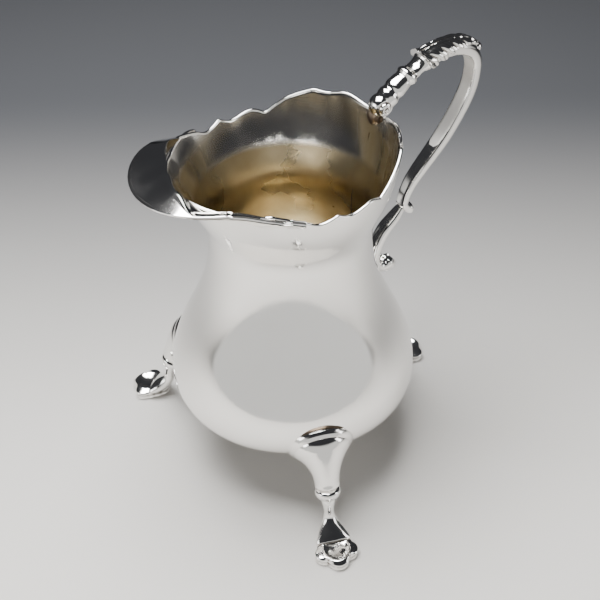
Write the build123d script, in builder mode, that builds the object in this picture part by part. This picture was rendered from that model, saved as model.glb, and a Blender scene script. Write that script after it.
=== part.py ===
"""Silver cream jug: pear body on three hoof feet, scalloped rim, broad lip and leaf-capped scroll handle.

Millimetres, +Z up. The pieces are modelled about the jug's own axis, with the handle on +X and the
lip on -X. At the end they are moved together, so that the origin is the middle of the footprint.
"""
from math import cos, pi, sin
import os

from build123d import *

# ---------------------------------------------------------------- driving dimensions
WALL = 0.7  # sheet thickness of body, base and lip

# pear body
BELLY_RADIUS = 32.6
BELLY_HEIGHT = 28.0
BELLY_FULLNESS = 14.0  # how far the wall keeps upright above the belly
NECK_RADIUS = 20.15
NECK_HEIGHT = 71.0
NECK_LENGTH = 21.0  # how far the wall keeps upright below the neck
BASE_RADIUS = 18.0  # the disc let into the bottom
BASE_HEIGHT = 15.2  # edge of that disc above the table
BASE_CROWN = 0.7  # how far the disc bulges down
UNDERSIDE_REACH = 9.0
UNDERSIDE_RISE = 1.2
BELLY_TUCK = 6.0

# mouth
MOUTH_RADIUS = 26.1
MOUTH_HEIGHT = 98.0  # blank height before the rim is cut
SPOUT_PULL = 1.8  # how far the mouth is drawn forward under the lip
SPOUT_ONSET = 1.5  # higher keeps the pull nearer the rim
SPOUT_SHARPNESS = 3.0
MOUTH_SECTIONS = 8
SECTION_POINTS = 32

# cut rim, in side view: distance from the axis towards the handle, height above the table
RIM_HANDLE = (MOUTH_RADIUS + 0.7, MOUTH_HEIGHT - 3.7)
RIM_LOBE = (24.4, MOUTH_HEIGHT - 2.1)
RIM_DIP = (21.4, MOUTH_HEIGHT - 3.1)
RIM_REAR_PEAK = (19.6, MOUTH_HEIGHT - 2.5)
RIM_REAR_SHOULDER = (14.0, MOUTH_HEIGHT - 5.4)
RIM_NOTCH = (8.9, MOUTH_HEIGHT - 8.7)
RIM_SIDE_LOBE = (5.4, MOUTH_HEIGHT - 7.5)
RIM_SIDE_DIP = (-0.6, MOUTH_HEIGHT - 8.7)
RIM_SIDE_PEAK = (-4.3, MOUTH_HEIGHT - 7.4)
RIM_CURL = (-8.6, MOUTH_HEIGHT - 8.7)
RIM_LIP_START = (-12.0, MOUTH_HEIGHT - 7.4)
RIM_LIP_RISE = (-18.6, MOUTH_HEIGHT - 4.6)

# pouring lip
LIP_CREST = (-MOUTH_RADIUS - 2.9, MOUTH_HEIGHT - 1.7)  # highest line of the lip, just outside the mouth
LIP_REACH = MOUTH_RADIUS + 12.9  # tip of the lip from the axis
LIP_HALF_WIDTH = 19.2  # radius of its round end
LIP_TIP_HEIGHT = MOUTH_HEIGHT - 3.2

# handle
HANDLE_WIDTH = 4.7
HANDLE_DEPTH = 3.8
HANDLE_FOOT_HEIGHT = 51.0  # where the lower scroll is soldered to the wall
VOLUTE_CENTRE = (MOUTH_RADIUS + 0.5, MOUTH_HEIGHT - 1.8)
VOLUTE_RADIUS = 3.0
COLLAR_PLACE = (VOLUTE_CENTRE[0] + 3.0, VOLUTE_CENTRE[1] + 2.4)  # end of the volute, start of the scroll
COLLAR_GROWTH = 0.5  # how much wider and deeper than the scroll the collar is
SPUR_STANDOFF = 10.5  # from the wall at the height of the handle's foot
SPUR_HEIGHT = 62.8  # end of the upper scroll, start of the lower one
SPUR_HEADING = -100
SPUR_RADIUS = 1.1
LEAF_RISE = 1.2  # how proud of the scroll the leaf stands
BEAD_RADIUS = 1.3

# knee pads and legs
# each leg is set by hand, at its own angle from the handle, in degrees
LEG_ANGLES = {"rear": 6.9, "front_right": 125.5, "front_left": 249.2}
PAD_RADIUS = 8.6
PAD_EDGE = 1.2
PAD_TAPER = 35.0  # slope of the bevel round the pad, in degrees
PAD_TILT = 20.0  # how far the pad looks below level, in degrees
PAD_CENTRE = (BELLY_RADIUS - 1.0, BELLY_HEIGHT - 4.1)
PAD_BACKING = 9.0  # stock behind the pad before it is fitted to the belly
TRUMPET_START = (0.951 * BELLY_RADIUS, BELLY_HEIGHT - 4.1)
TRUMPET_START_TILT = 26.0
TRUMPET_START_RADIUS = 7.6
TRUMPET_END = (BELLY_RADIUS + 4.2, BELLY_HEIGHT - 11.2)
TRUMPET_END_TILT = 74.0
TRUMPET_END_RADIUS = 3.1
TRUMPET_BEND = 2.2
TRUMPET_SHARPNESS = 2.6
GROOVE_RADIUS = 2.2
GROOVE_WIDTH = 0.7
KNOP_RADIUS = 2.9
KNOP_HEIGHT = 2.6
SHANK_RADIUS = 1.8  # inside the knop
SHANK_SHARPNESS = 1.0
ANKLE_PLACE = (BELLY_RADIUS + 6.6, 7.6)
ANKLE_RADIUS = 1.25
CALF_SHARE = 0.48  # bend of the calf, as a share of the way up from the ankle to the knop
INSTEP_PLACE = (BELLY_RADIUS + 10.8, 1.6)
INSTEP_BEND = 3.0
INSTEP_RADIUS = 3.0
INSTEP_SHARPNESS = 1.5
TAPER_SECTIONS = 6
TOE_REACH = BELLY_RADIUS + 19.0
HOOF_HEIGHT = 2.8
HOOF_HALF_WIDTH = 5.6
TOE_LOBE_RADIUS = 3.0
SIDE_LOBE_RADIUS = 2.4
SIDE_LOBE_SETBACK = 4.6  # centre of the side lobes behind the tip of the toe
HEEL_SETBACK = 9.5
HEEL_RADIUS = 1.8
DISH_RADIUS = 7.0  # ball that hollows the top of the hoof
DISH_DEPTH = 0.9

BISECTION_LIMIT = 1e-4
CUT_REACH = 200.0  # more than any size of the jug, for stock that is cut away

# ---------------------------------------------------------------- shared shapes
def mouth_radius(angle, height, inset):
    """Radius of the mouth at an angle from the handle and a height above the table."""
    rise = (height - NECK_HEIGHT) / (MOUTH_HEIGHT - NECK_HEIGHT)
    flare = (MOUTH_RADIUS - NECK_RADIUS) * rise**2 * (3 - 2 * rise)
    forward = ((1 - cos(angle)) / 2) ** SPOUT_SHARPNESS
    return NECK_RADIUS + flare + SPOUT_PULL * rise**SPOUT_ONSET * forward - inset


def wall_points(inset):
    """Control points (radius, height) of the wall's curve from the belly up to the neck."""
    return [
        (BELLY_RADIUS - inset, BELLY_HEIGHT),
        (BELLY_RADIUS - inset, BELLY_HEIGHT + BELLY_FULLNESS),
        (NECK_RADIUS - inset, NECK_HEIGHT - NECK_LENGTH),
        (NECK_RADIUS - inset, NECK_HEIGHT),
    ]


def wall_radius(height):
    """Outer radius of the wall at a height between the belly and the neck."""
    with BuildLine(mode=Mode.PRIVATE) as wall:
        Bezier(*wall_points(0))
    low = 0.0
    high = 1.0
    while high - low > BISECTION_LIMIT:
        middle = (low + high) / 2
        if (wall.line @ middle).Y < height:
            low = middle
        else:
            high = middle
    return (wall.line @ low).X


def jug_solid(inset):
    """Filled pear body and mouth, its skin moved inwards by inset."""
    base_z = BASE_HEIGHT + inset
    belly_r = BELLY_RADIUS - inset
    neck_r = NECK_RADIUS - inset
    with BuildPart() as jug:
        with BuildSketch(Plane.XZ):
            with BuildLine():
                Line((0, NECK_HEIGHT), (0, base_z - BASE_CROWN))
                RadiusArc((0, base_z - BASE_CROWN), (BASE_RADIUS, base_z), -BASE_RADIUS**2 / (2 * BASE_CROWN))
                Bezier(
                    (BASE_RADIUS, base_z),
                    (BASE_RADIUS + UNDERSIDE_REACH, base_z + UNDERSIDE_RISE),
                    (belly_r, BELLY_HEIGHT - BELLY_TUCK),
                    (belly_r, BELLY_HEIGHT),
                )
                Bezier(*wall_points(inset))
                Line((neck_r, NECK_HEIGHT), (0, NECK_HEIGHT))
            make_face()
        revolve(axis=Axis.Z)
        for level in range(MOUTH_SECTIONS):
            height = NECK_HEIGHT + (MOUTH_HEIGHT - NECK_HEIGHT) * level / (MOUTH_SECTIONS - 1)
            ring = []
            for step in range(SECTION_POINTS):
                angle = 2 * pi * step / SECTION_POINTS
                radius = mouth_radius(angle, height, inset)
                ring.append((radius * cos(angle), radius * sin(angle)))
            with BuildSketch(Plane.XY.offset(height)):
                if level == 0:
                    Circle(neck_r)
                else:
                    with BuildLine():
                        Spline(*ring, periodic=True)
                    make_face()
        loft()
    return jug.part


def scroll_plane(place, heading):
    """Plane across the handle at (distance, height). Heading is degrees above level, local +Y outwards."""
    direction = (cos(heading * pi / 180), 0, sin(heading * pi / 180))
    return Plane(origin=(place[0], 0, place[1]), x_dir=(0, 1, 0), z_dir=direction)


def scroll_section(place, heading, width, depth):
    """D-shaped section: flat on the inner side, round on the outer side."""
    with BuildSketch(scroll_plane(place, heading)) as section:
        with BuildLine():
            Line((-width / 2, -depth / 2), (width / 2, -depth / 2))
            EllipticalCenterArc((0, -depth / 2), width / 2, depth, start_angle=0, arc_size=180)
        make_face()
    return section


foot_radius = wall_radius(HANDLE_FOOT_HEIGHT)
SPUR_PLACE = (foot_radius + SPUR_STANDOFF, SPUR_HEIGHT)


def grip_point(out, share):
    """Point of the grip, out from the straight line between the spur (share 0) and the collar (share 1)."""
    across = SPUR_PLACE[0] + (COLLAR_PLACE[0] - SPUR_PLACE[0]) * share
    return (across + out, SPUR_PLACE[1] + (COLLAR_PLACE[1] - SPUR_PLACE[1]) * share)


# stations of the handle: place (distance, height), heading, share of full width, share of full depth
UPPER_STATIONS = [
    (COLLAR_PLACE, 38, 1.0, 1.2),
    (grip_point(4.8, 1.08), 34, 1.0, 0.85),
    (grip_point(9.9, 1.16), 30, 1.0, 0.85),
    (grip_point(17.1, 1.205), -5, 1.0, 1.0),
    (grip_point(23.2, 1.14), -34, 1.0, 1.0),
    (grip_point(25.8, 1.045), -60, 1.0, 1.0),
    (grip_point(26.2, 0.94), -88, 1.0, 1.0),
    (grip_point(22.9, 0.735), -118, 1.0, 1.0),
    (grip_point(15.0, 0.48), -135, 1.0, 1.0),
    (grip_point(6.4, 0.27), -133, 0.95, 0.9),
    (grip_point(1.5, 0.125), -104, 0.85, 0.75),
    (SPUR_PLACE, SPUR_HEADING, 0.75, 0.65),
]
LEAF_STATIONS = UPPER_STATIONS[2:6]
LOWER_STATIONS = [
    (SPUR_PLACE, SPUR_HEADING, 0.75, 0.65),
    ((foot_radius + 7.9, 60.2), -140, 0.75, 0.75),
    ((foot_radius + 4.4, 56.6), -122, 0.75, 0.8),
    ((foot_radius + 2.4, 52.2), -102, 0.8, 0.8),
    ((foot_radius + 2.2, 48.8), -80, 0.85, 0.8),
    ((foot_radius + 3.9, 46.4), -38, 0.9, 0.8),
    ((foot_radius + 6.5, 45.8), 6, 0.95, 0.95),
    ((foot_radius + 8.7, 46.8), 32, 0.95, 1.1),
]
LIP_TOP = [(-LIP_REACH, LIP_TIP_HEIGHT), LIP_CREST, RIM_LIP_RISE, RIM_LIP_START, RIM_CURL]
LIP_UNDERSIDE = [(distance, height - WALL) for distance, height in LIP_TOP]

outer_jug = jug_solid(0)
inner_jug = jug_solid(WALL)

# ---------------------------------------------------------------- body
with BuildPart() as body_wall:
    add(outer_jug)
    add(inner_jug, mode=Mode.SUBTRACT)
    with BuildSketch(Plane.XY):
        Circle(BASE_RADIUS)
    extrude(amount=BASE_HEIGHT + 2 * WALL, mode=Mode.SUBTRACT)
    with BuildSketch(Plane.XZ):
        with BuildLine():
            Polyline(RIM_HANDLE, (CUT_REACH, RIM_HANDLE[1]), (CUT_REACH, CUT_REACH), (-CUT_REACH, CUT_REACH))
            Polyline((-CUT_REACH, CUT_REACH), (-CUT_REACH, LIP_TIP_HEIGHT), LIP_TOP[0])
            Spline(*LIP_TOP)
            Spline(RIM_CURL, RIM_SIDE_PEAK, tangents=[(1, 0), (1, 1)])
            Spline(RIM_SIDE_PEAK, RIM_SIDE_DIP, RIM_SIDE_LOBE, RIM_NOTCH)
            Spline(RIM_NOTCH, RIM_REAR_SHOULDER, RIM_REAR_PEAK)
            Spline(RIM_REAR_PEAK, RIM_DIP, RIM_LOBE, RIM_HANDLE)
        make_face()
    extrude(amount=CUT_REACH, both=True, mode=Mode.SUBTRACT)
body_wall.part.label = "body_wall"

with BuildPart() as base_disc:
    add(outer_jug)
    add(inner_jug, mode=Mode.SUBTRACT)
    with BuildSketch(Plane.XY):
        Circle(BASE_RADIUS)
    extrude(amount=BASE_HEIGHT + 2 * WALL, mode=Mode.INTERSECT)
base_disc.part.label = "base_disc"

# ---------------------------------------------------------------- pouring lip
with BuildPart() as pouring_lip:
    with BuildSketch(Plane.XZ):
        with BuildLine():
            top = Spline(*LIP_TOP)
            bottom = Spline(*LIP_UNDERSIDE)
            Line(top @ 0, bottom @ 0)
            Line(bottom @ 1, top @ 1)
        make_face()
    extrude(amount=CUT_REACH, both=True)
    with BuildSketch(Plane.XY):
        with Locations((LIP_HALF_WIDTH - LIP_REACH, 0)):
            Circle(LIP_HALF_WIDTH)
        Circle(MOUTH_RADIUS - WALL)
        make_hull()
    extrude(amount=CUT_REACH, mode=Mode.INTERSECT)
    add(outer_jug, mode=Mode.SUBTRACT)
pouring_lip.part.label = "pouring_lip"

# ---------------------------------------------------------------- handle
with BuildPart() as handle_upper_scroll:
    for place, heading, width_share, depth_share in UPPER_STATIONS:
        add(scroll_section(place, heading, HANDLE_WIDTH * width_share, HANDLE_DEPTH * depth_share).sketch)
    loft()
    with Locations(scroll_plane(SPUR_PLACE, SPUR_HEADING)):
        with Locations((0, SPUR_RADIUS, -SPUR_RADIUS)):
            Sphere(SPUR_RADIUS)
handle_upper_scroll.part.label = "handle_upper_scroll"

with BuildPart() as handle_leaf_cap:
    for place, heading, width_share, depth_share in LEAF_STATIONS:
        add(scroll_section(place, heading, HANDLE_WIDTH + LEAF_RISE, HANDLE_DEPTH * depth_share + LEAF_RISE).sketch)
    loft()
    bead_plane = scroll_plane(*LEAF_STATIONS[-1][:2])
    with Locations(bead_plane.from_local_coords((0, HANDLE_DEPTH / 2, 0))):
        Sphere(BEAD_RADIUS)
    add(handle_upper_scroll.part, mode=Mode.SUBTRACT)
handle_leaf_cap.part.label = "handle_leaf_cap"

with BuildPart() as handle_rim_volute:
    collar = scroll_plane(*UPPER_STATIONS[0][:2])
    with Locations((VOLUTE_CENTRE[0], 0, VOLUTE_CENTRE[1])):
        Sphere(VOLUTE_RADIUS)
    add(scroll_section(*UPPER_STATIONS[0][:2], HANDLE_WIDTH + COLLAR_GROWTH, HANDLE_DEPTH + COLLAR_GROWTH).sketch)
    extrude(amount=-VOLUTE_RADIUS)
    split(bisect_by=collar, keep=Keep.BOTTOM)
    add(body_wall.part, mode=Mode.SUBTRACT)
handle_rim_volute.part.label = "handle_rim_volute"

with BuildPart() as handle_lower_scroll:
    for place, heading, width_share, depth_share in LOWER_STATIONS:
        add(scroll_section(place, heading, HANDLE_WIDTH * width_share, HANDLE_DEPTH * depth_share).sketch)
    loft()
    add(outer_jug, mode=Mode.SUBTRACT)
    add(handle_upper_scroll.part, mode=Mode.SUBTRACT)
handle_lower_scroll.part.label = "handle_lower_scroll"

# ---------------------------------------------------------------- knee pad and leg, made under the handle
def leg_plane(place, tilt):
    """Plane across the leg at (distance, height), looking outwards and down by tilt degrees."""
    direction = (cos(tilt * pi / 180), 0, -sin(tilt * pi / 180))
    return Plane(origin=(place[0], 0, place[1]), x_dir=(0, 1, 0), z_dir=direction)


pad_plane = leg_plane(PAD_CENTRE, PAD_TILT)
trumpet_start = leg_plane(TRUMPET_START, TRUMPET_START_TILT)
trumpet_end = leg_plane(TRUMPET_END, TRUMPET_END_TILT)

with BuildPart() as knee_pad:
    with BuildSketch(pad_plane.offset(-PAD_EDGE)):
        Circle(PAD_RADIUS)
    extrude(amount=-PAD_BACKING)
    with BuildSketch(pad_plane.offset(-PAD_EDGE)):
        Circle(PAD_RADIUS)
    extrude(amount=PAD_EDGE, taper=PAD_TAPER)
    add(outer_jug, mode=Mode.SUBTRACT)

def tapered_limb(path, start_radius, end_radius, sharpness):
    """Round limb along a path, widening fastest at its thick end."""
    thin, thick = sorted((start_radius, end_radius))
    with BuildPart() as limb:
        for step in range(TAPER_SECTIONS + 1):
            place = step / TAPER_SECTIONS
            towards_thick = 1 - place if start_radius > end_radius else place
            with BuildSketch(Plane(origin=path @ place, x_dir=(0, 1, 0), z_dir=path % place)):
                Circle(thin + (thick - thin) * towards_thick**sharpness)
        loft()
    return limb.part


def leg_point(place):
    """Point of the leg's own plane as a point in space."""
    return (place[0], 0, place[1])


knop_centre = trumpet_end.offset(GROOVE_WIDTH + KNOP_HEIGHT / 2)
knop_foot = trumpet_end.offset(GROOVE_WIDTH + KNOP_HEIGHT)
calf_height = ANKLE_PLACE[1] + CALF_SHARE * (knop_foot.origin.Z - ANKLE_PLACE[1])
with BuildLine(mode=Mode.PRIVATE) as leg_paths:
    trumpet_path = Bezier(
        trumpet_start.origin,
        trumpet_start.origin + trumpet_start.z_dir * TRUMPET_BEND,
        trumpet_end.origin - trumpet_end.z_dir * TRUMPET_BEND,
        trumpet_end.origin,
    )
    calf_bend = leg_point((ANKLE_PLACE[0], calf_height))
    shank_path = Bezier(knop_centre.origin, knop_foot.origin, calf_bend, leg_point(ANKLE_PLACE))
    instep_path = Bezier(
        leg_point(ANKLE_PLACE),
        Vector(leg_point(ANKLE_PLACE)) - Vector(0, 0, INSTEP_BEND),
        Vector(leg_point(INSTEP_PLACE)) - Vector(INSTEP_BEND, 0, -INSTEP_BEND) / 2,
        leg_point(INSTEP_PLACE),
    )

with BuildPart() as leg_casting:
    add(tapered_limb(trumpet_path, TRUMPET_START_RADIUS, TRUMPET_END_RADIUS, TRUMPET_SHARPNESS))
    with Locations(knop_centre):
        Cylinder(GROOVE_RADIUS, KNOP_HEIGHT + 2 * GROOVE_WIDTH)
        Torus(KNOP_RADIUS - KNOP_HEIGHT / 2, KNOP_HEIGHT / 2)
    add(tapered_limb(shank_path, SHANK_RADIUS, ANKLE_RADIUS, SHANK_SHARPNESS))
    add(tapered_limb(instep_path, ANKLE_RADIUS, INSTEP_RADIUS, INSTEP_SHARPNESS))
    with BuildSketch(Plane.XY):
        with Locations((TOE_REACH - TOE_LOBE_RADIUS, 0)):
            Circle(TOE_LOBE_RADIUS)
        for side in (1, -1):
            with BuildSketch(mode=Mode.PRIVATE) as lobe:
                with Locations((TOE_REACH - SIDE_LOBE_SETBACK, side * (HOOF_HALF_WIDTH - SIDE_LOBE_RADIUS))):
                    Circle(SIDE_LOBE_RADIUS)
                with Locations((TOE_REACH - HEEL_SETBACK, 0)):
                    Circle(HEEL_RADIUS)
                make_hull()
            add(lobe.sketch)
    extrude(amount=HOOF_HEIGHT)
    with Locations((TOE_REACH - SIDE_LOBE_SETBACK, 0, HOOF_HEIGHT - DISH_DEPTH + DISH_RADIUS)):
        Sphere(DISH_RADIUS, mode=Mode.SUBTRACT)
    with Locations((ANKLE_PLACE[0], 0, 0)):
        Box(CUT_REACH, CUT_REACH, CUT_REACH, align=(Align.CENTER, Align.CENTER, Align.MAX), mode=Mode.SUBTRACT)
    add(knee_pad.part, mode=Mode.SUBTRACT)
    add(outer_jug, mode=Mode.SUBTRACT)

pieces = [
    body_wall,
    base_disc,
    pouring_lip,
    handle_upper_scroll,
    handle_leaf_cap,
    handle_rim_volute,
    handle_lower_scroll,
]
for name, angle in LEG_ANGLES.items():
    turn = Location((0, 0, 0), (0, 0, angle))
    for master, kind in ((knee_pad, "_knee_pad"), (leg_casting, "_leg")):
        with BuildPart() as copy:
            add(master.part.moved(turn))
        copy.part.label = name + kind
        pieces.append(copy)

# ---------------------------------------------------------------- place and write
boxes = [piece.part.bounding_box() for piece in pieces]
middle_x = (min(box.min.X for box in boxes) + max(box.max.X for box in boxes)) / 2
middle_y = (min(box.min.Y for box in boxes) + max(box.max.Y for box in boxes)) / 2
to_footprint = Location((-middle_x, -middle_y, 0))
os.makedirs("parts", exist_ok=True)
for piece in pieces:
    placed = piece.part.moved(to_footprint)
    placed.label = piece.part.label
    export_step(placed, "parts/" + placed.label + ".step")
    print(placed.label, len(placed.solids()), round(placed.volume, 1))
print("jug axis at", round(-middle_x, 3), round(-middle_y, 3))
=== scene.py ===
"""Silver cream jug: pear body with a scalloped rim and a broad lip, leaf-capped handle, three hoof feet.

Sizes are in millimetres about the jug's own axis, with the handle on +X and the lip on -X. jug_point()
turns such a place into the shared frame, in metres. Each sub-assembly is a class that builds and dresses
its pieces.
"""
import logging
import math
from collections.abc import Callable
from dataclasses import dataclass, field
from enum import Enum

import bpy
from mathutils import Matrix, Vector


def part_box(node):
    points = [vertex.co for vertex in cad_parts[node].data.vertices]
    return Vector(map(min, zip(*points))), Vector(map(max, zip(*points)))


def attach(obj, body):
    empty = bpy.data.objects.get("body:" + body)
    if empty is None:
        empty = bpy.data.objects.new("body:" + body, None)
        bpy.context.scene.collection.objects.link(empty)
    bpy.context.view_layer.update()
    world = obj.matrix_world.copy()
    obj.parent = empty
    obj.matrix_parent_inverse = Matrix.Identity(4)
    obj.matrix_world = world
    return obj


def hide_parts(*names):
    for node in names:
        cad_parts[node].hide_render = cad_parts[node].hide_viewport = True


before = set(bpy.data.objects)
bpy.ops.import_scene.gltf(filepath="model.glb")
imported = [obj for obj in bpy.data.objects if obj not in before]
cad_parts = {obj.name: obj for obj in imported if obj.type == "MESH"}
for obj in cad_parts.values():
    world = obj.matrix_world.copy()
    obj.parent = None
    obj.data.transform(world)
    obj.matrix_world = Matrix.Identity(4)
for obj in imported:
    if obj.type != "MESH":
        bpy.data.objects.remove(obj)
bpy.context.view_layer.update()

MM = 0.001
Pair = tuple[float, float]
logger = logging.getLogger("cream_jug")


class Seam(Enum):
    """Whether a surface closes on itself across its columns."""

    OPEN = "open"
    ROUND = "round"


class Slot(Enum):
    """The record's material slots."""

    SHEET = "sheet_silver"
    CAST = "cast_silver"


# ---------------------------------------------------------------- geometry helpers
def axis_place() -> Vector:
    """Foot of the jug's own axis in the shared frame, from the disc in its bottom."""
    low, high = (Vector(corner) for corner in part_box("base_disc"))
    middle = (low + high) / 2
    return Vector((middle.x, middle.y, 0))


AXIS = axis_place()


def jug_point(across: float, sideways: float, height: float) -> Vector:
    """Point in the shared frame from millimetres about the jug's axis."""
    return AXIS + Vector((across, sideways, height)) * MM


def bezier(points: list[Pair], share: float) -> Pair:
    """Point of a cubic curve.

    Args:
        points: Its four control points.
        share: Place along it, from 0 to 1.

    Returns:
        The point.
    """
    rest = 1 - share
    weights = (rest**3, 3 * share * rest**2, 3 * share**2 * rest, share**3)
    return tuple(sum(w * p[k] for w, p in zip(weights, points)) for k in (0, 1))


def smooth_step(value: float) -> float:
    """Ease from 0 to 1, clamped."""
    value = min(max(value, 0.0), 1.0)
    return value * value * (3 - 2 * value)


def ridge(distance: float, width: float) -> float:
    """Soft ridge of height 1 at distance 0."""
    return math.exp(-((distance / width) ** 2))


def along(points: list[tuple[float, ...]], share: float) -> tuple[float, ...]:
    """Smooth curve through points.

    Args:
        points: What it passes through, with any number of values each.
        share: Place along it, from 0 to 1, the same for each stretch between points.

    Returns:
        The values there.
    """
    spot = min(max(share, 0.0), 1.0) * (len(points) - 1)
    first = min(int(spot), len(points) - 2)
    t = spot - first
    a, b = points[max(first - 1, 0)], points[first]
    c, d = points[first + 1], points[min(first + 2, len(points) - 1)]
    return tuple(
        q + 0.5 * t * (r - p + t * (2 * p - 5 * q + 4 * r - s + t * (3 * (q - r) + s - p)))
        for p, q, r, s in zip(a, b, c, d)
    )


def eased(keys: list[tuple[float, float, bool]], place: float) -> float:
    """Value between keys, level at soft keys and meeting at a point at sharp ones.

    Args:
        keys: (place, value, sharp) in rising order of place.
        place: Where to read it.

    Returns:
        The value.
    """
    if place <= keys[0][0]:
        return keys[0][1]
    for (x0, z0, sharp0), (x1, z1, sharp1) in zip(keys, keys[1:]):
        if place <= x1:
            t = (place - x0) / (x1 - x0)
            if sharp0 and sharp1:
                ease = t
            elif sharp0:
                ease = math.sin(t * math.pi / 2)
            elif sharp1:
                ease = 1 - math.cos(t * math.pi / 2)
            else:
                ease = smooth_step(t)
            return z0 + (z1 - z0) * ease
    return keys[-1][1]


def only(piece: bpy.types.Object) -> None:
    """Select one piece alone and make it the active one."""
    bpy.ops.object.select_all(action="DESELECT")
    piece.select_set(True)
    bpy.context.view_layer.objects.active = piece


def surface(
    name: str, columns: int, rows: int, shape: Callable[[float, float], Vector], seam: Seam = Seam.ROUND
) -> bpy.types.Object:
    """Surface raised from a flat grid.

    Args:
        name: The piece's name.
        columns: Steps round or across it.
        rows: Steps along it.
        shape: Place, in the shared frame, of a share across and a share along.
        seam: Whether its first and last columns meet.

    Returns:
        The piece, with its doubles merged. A closed one has its faces turned outwards.
    """
    bpy.ops.object.select_all(action="DESELECT")
    bpy.ops.mesh.primitive_grid_add(x_subdivisions=columns, y_subdivisions=rows, size=2)
    piece = bpy.context.object
    piece.name = name
    piece.data.name = name
    for vertex in piece.data.vertices:
        vertex.co = shape((vertex.co.x + 1) / 2, (vertex.co.y + 1) / 2)
    if seam is Seam.ROUND:
        bpy.ops.object.mode_set(mode="EDIT")
        bpy.ops.mesh.select_all(action="SELECT")
        bpy.ops.mesh.remove_doubles(threshold=2e-6)
        bpy.ops.mesh.normals_make_consistent(inside=False)
        bpy.ops.object.mode_set(mode="OBJECT")
    return piece


def face_towards(piece: bpy.types.Object, direction: Vector) -> None:
    """Turn an open sheet's faces so that their mean looks along a direction."""
    total = sum((face.normal * face.area for face in piece.data.polygons), Vector())
    if total.dot(direction) < 0:
        only(piece)
        bpy.ops.object.mode_set(mode="EDIT")
        bpy.ops.mesh.select_all(action="SELECT")
        bpy.ops.mesh.flip_normals()
        bpy.ops.object.mode_set(mode="OBJECT")


def apply(piece: bpy.types.Object, kind: str, **settings: object) -> None:
    """Add a modifier with its settings and apply it."""
    only(piece)
    modifier = piece.modifiers.new(kind.title(), kind)
    for key, value in settings.items():
        setattr(modifier, key, value)
    bpy.ops.object.modifier_apply(modifier=modifier.name)


def join(pieces: list[bpy.types.Object], name: str) -> bpy.types.Object:
    """Join pieces into the first one and rename it."""
    bpy.ops.object.select_all(action="DESELECT")
    for piece in pieces:
        piece.select_set(True)
    bpy.context.view_layer.objects.active = pieces[0]
    bpy.ops.object.join()
    pieces[0].name = name
    pieces[0].data.name = name
    return pieces[0]


def dress(piece: bpy.types.Object, looks: list[bpy.types.Material]) -> None:
    """Give a piece its materials, in slot order."""
    for look in looks:
        piece.data.materials.append(look)


def finish(piece: bpy.types.Object, slot: Slot, *nodes: str) -> None:
    """Smooth a dressed piece, parent it to the root and hide the CAD nodes that it stands for.

    Args:
        piece: The finished mesh.
        slot: Not used.
        nodes: The CAD nodes that it stands for.
    """
    only(piece)
    bpy.ops.object.shade_smooth_by_angle(angle=math.radians(50))
    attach(piece, "root")
    if nodes:
        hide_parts(*nodes)
    logger.info("%s: %d faces", piece.name, len(piece.data.polygons))


# ---------------------------------------------------------------- finishes
def group_socket(group: bpy.types.NodeTree, name: str, way: str, kind: str) -> None:
    """Add one socket to a node group."""
    group.interface.new_socket(name=name, in_out=way, socket_type="NodeSocket" + kind)


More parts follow.
